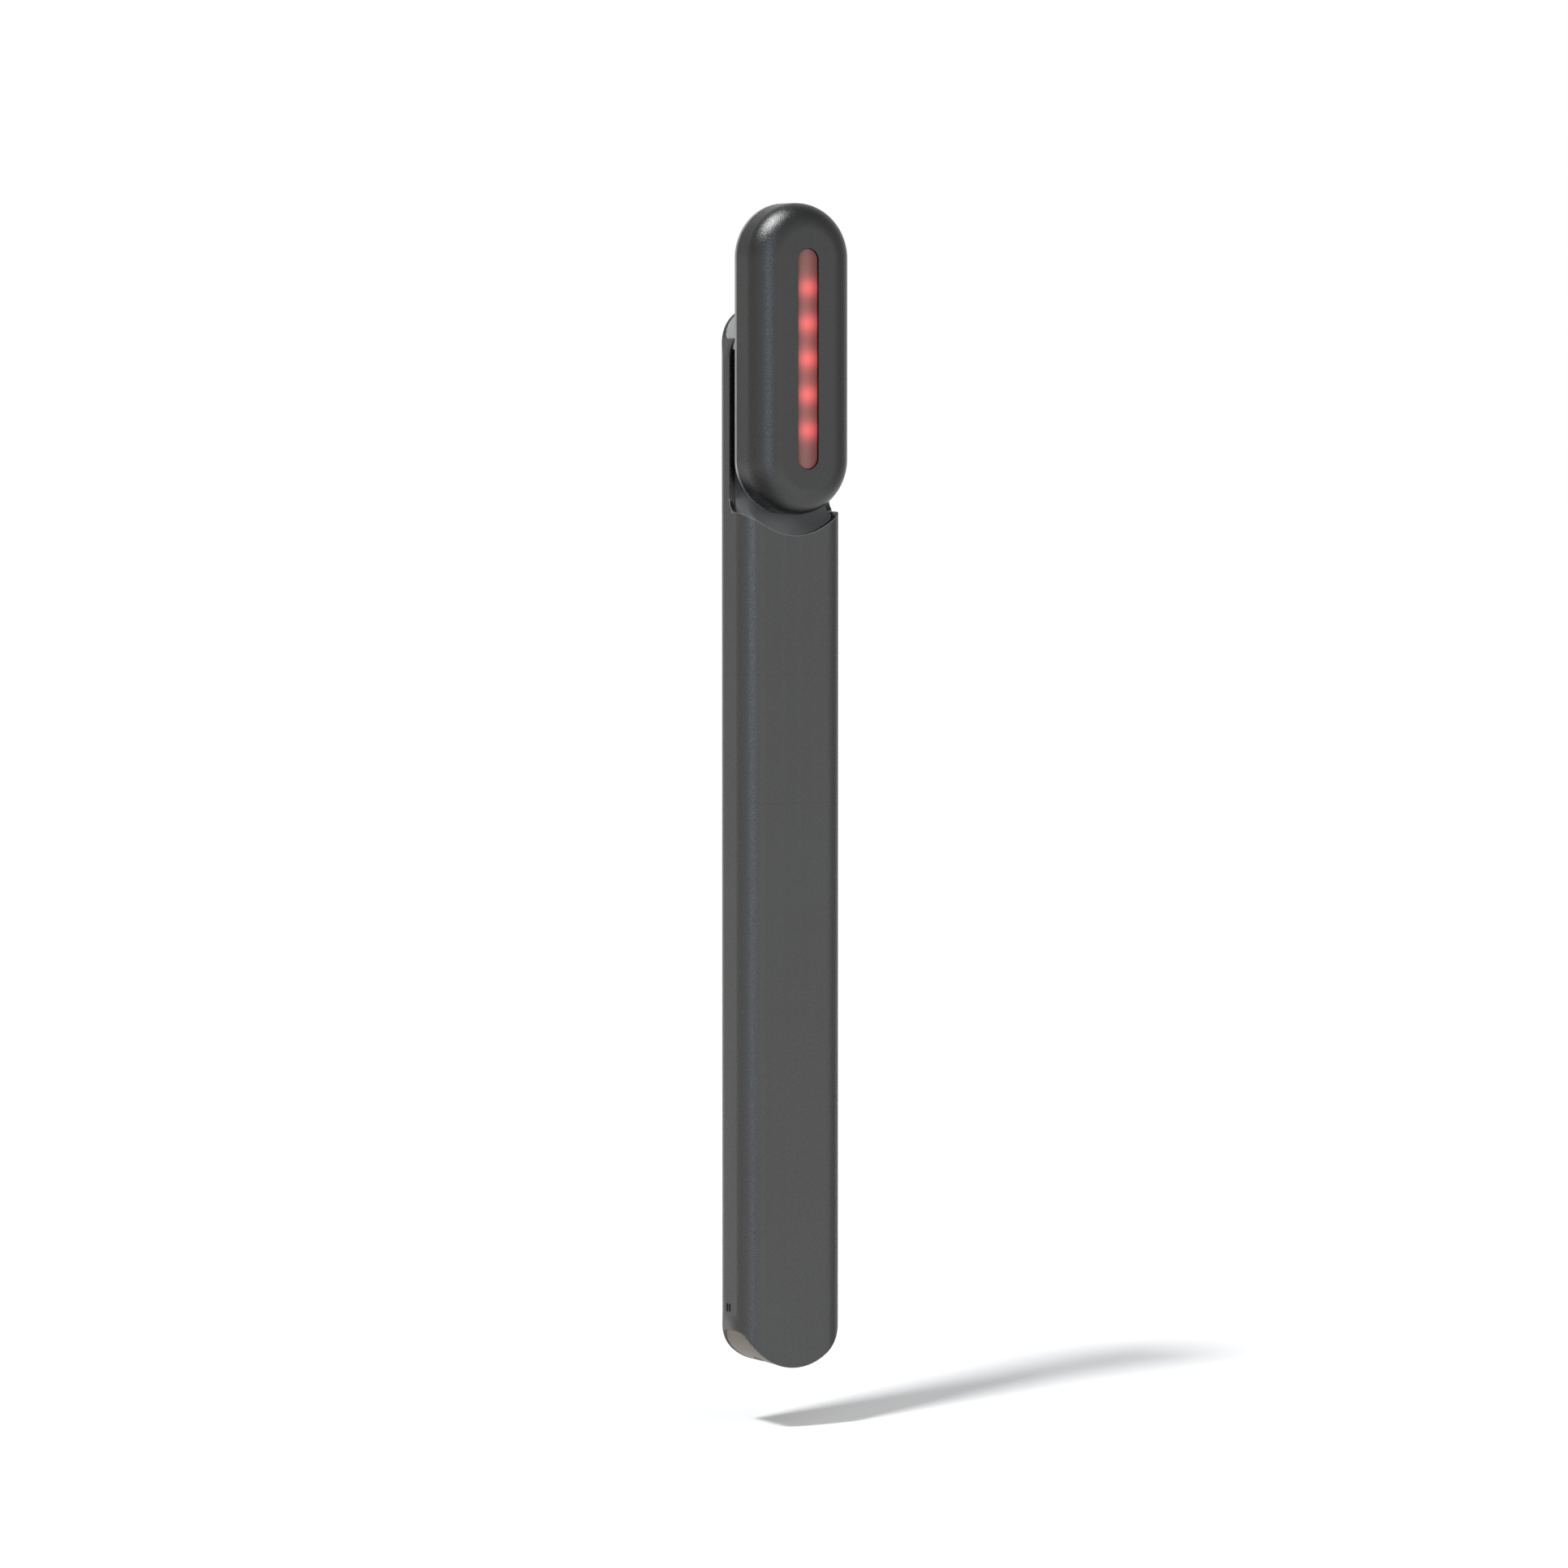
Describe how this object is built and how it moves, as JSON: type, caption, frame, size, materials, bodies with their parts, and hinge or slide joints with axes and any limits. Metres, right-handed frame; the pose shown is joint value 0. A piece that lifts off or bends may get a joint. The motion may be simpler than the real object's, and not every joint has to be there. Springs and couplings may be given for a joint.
{
  "type": "red light therapy wand",
  "caption": "Slim handheld red light therapy wand: rounded rectangular metal handle with a stadium shaped light head that swivels on its tongue into a T.",
  "frame": {"origin": "centre of the handle tube, on its axis, half way between its two round ends", "axes": "+Z along the handle towards the head, -Y out of the treatment face, +X to the right of someone who looks at the lights"},
  "size_m": [0.0176, 0.0141, 0.1797],
  "materials": {
    "gunmetal": "satin bead blasted anodised",
    "cap_taupe": "satin",
    "insert_plastic": "satin",
    "chassis_plastic": "matte",
    "circuit_board": "solder mask",
    "led_board_white": "white solder mask",
    "chip_black": "moulded",
    "screw_steel": "turned",
    "led_white": "moulded",
    "smoked_plastic": "smoked",
    "socket_steel": "drawn",
    "battery_foil": "laminated foil",
    "foam_black": "foam",
    "lead_red": "insulated wire",
    "motor_steel": "drawn",
    "boot_rubber": "moulded",
    "shaft_steel": "ground",
    "weight_metal": "sintered",
    "ribbon_film": "polyimide film",
    "bush_bronze": "sintered",
    "washer_steel": "stamped",
    "plate_satin": "satin",
    "magnet_nickel": "plated",
    "plug_ivory": "moulded",
    "lens_diffuser": "frosted",
    "reflector_white": "moulded",
    "film_amber": "polyimide film",
    "led_red": "moulded"
  },
  "bodies": {
    "handle": {"handle_tube": "gunmetal", "bottom_cap": "cap_taupe", "top_cap": "cap_taupe", "cradle_insert": "insert_plastic", "chassis": "chassis_plastic", "main_board": "circuit_board", "board_chips": "chip_black", "board_screws": "screw_steel", "indicator_leds": "led_white", "indicator_bars": "smoked_plastic", "socket_shell": "socket_steel", "socket_tongue": "chip_black", "battery_cell": "battery_foil", "battery_pad": "foam_black", "battery_leads": "lead_red", "motor_can": "motor_steel", "motor_boot": "boot_rubber", "motor_leads": "lead_red", "insert_screws": "screw_steel", "head_cable": "ribbon_film", "turn_sensor": "chip_black", "pivot_bush": "bush_bronze", "friction_washer": "washer_steel", "stop_pin": "shaft_steel"},
    "motor_rotor": {"motor_shaft": "shaft_steel", "eccentric_weight": "weight_metal"},
    "head": {"head_shell": "gunmetal", "head_back_plate": "plate_satin", "head_carrier": "chassis_plastic", "head_magnet": "magnet_nickel", "head_plug": "plug_ivory", "pivot_shaft": "shaft_steel", "pivot_screws": "screw_steel", "retaining_clip": "washer_steel", "window_lens": "lens_diffuser", "window_seal": "boot_rubber", "light_reflector": "reflector_white", "led_board": "led_board_white", "driver_chips": "chip_black", "electrode_pins": "bush_bronze", "heat_films": "film_amber", "led_1": "led_red", "led_2": "led_red", "led_3": "led_red", "led_4": "led_red", "led_5": "led_red"}
  },
  "joints": [
    {"name": "head_swivel", "type": "hinge", "parent": "handle", "child": "head", "pos_m": [0, 0, 0.0735], "axis": [0, 1, 0], "range_deg": [-90, 90]},
    {"name": "motor_spin", "type": "hinge", "parent": "handle", "child": "motor_rotor", "pos_m": [0, -0.0008, 0.0335], "axis": [0, 0, 1], "continuous": true}
  ]
}
